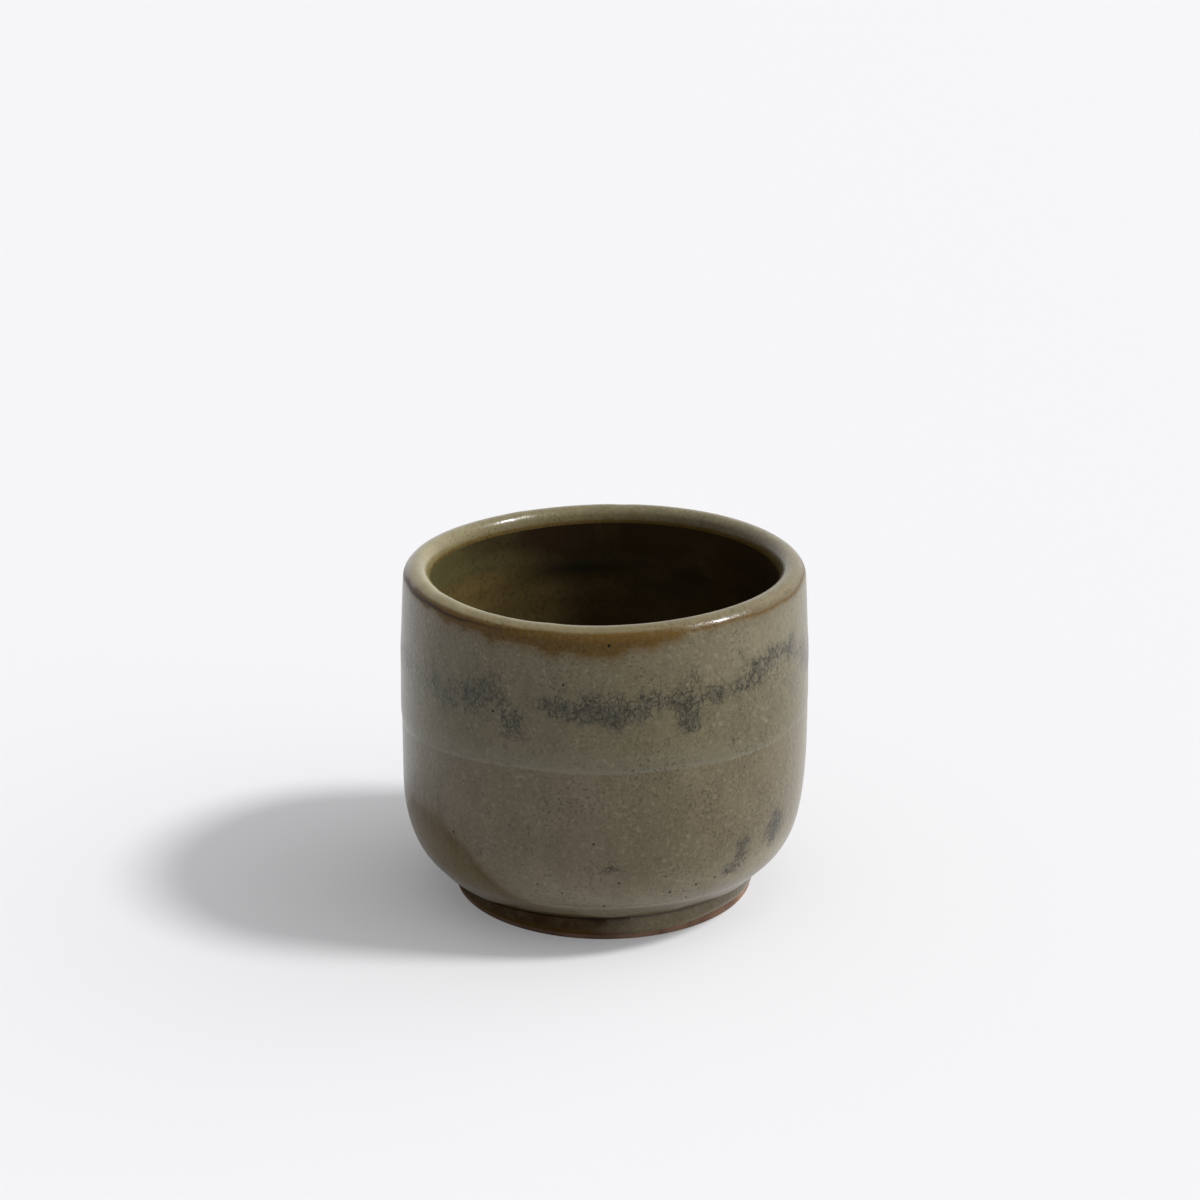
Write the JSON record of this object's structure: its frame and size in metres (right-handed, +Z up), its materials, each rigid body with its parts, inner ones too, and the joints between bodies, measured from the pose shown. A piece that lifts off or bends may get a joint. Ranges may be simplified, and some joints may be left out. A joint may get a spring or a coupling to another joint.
{
  "type": "coffee cup",
  "caption": "Handleless stoneware coffee cup with a thick rounded lip, barrelled wall, low turned foot ring and olive-grey satin glaze.",
  "frame": {"origin": "on the table at the cup's axis, the centre of the foot ring's flat bottom", "axes": "+Z up along the cup's turning axis; the cup is round, so X and Y are any two level directions"},
  "size_m": [0.08, 0.08, 0.0667],
  "materials": {
    "bowl_clay": "bare fired stoneware, matt",
    "foot_clay": "bare fired stoneware, matt, wiped clean of glaze at the table",
    "body_glaze": "satin olive-brown glaze with iron speckle",
    "dip_glaze": "satin olive-grey glaze with a dark mottled band",
    "liner_glaze": "satin olive-brown glaze"
  },
  "bodies": {
    "root": {"bowl": "bowl_clay", "foot_ring": "foot_clay", "body_glaze": "body_glaze", "dip_glaze": "dip_glaze", "liner_glaze": "liner_glaze"}
  },
  "joints": []
}
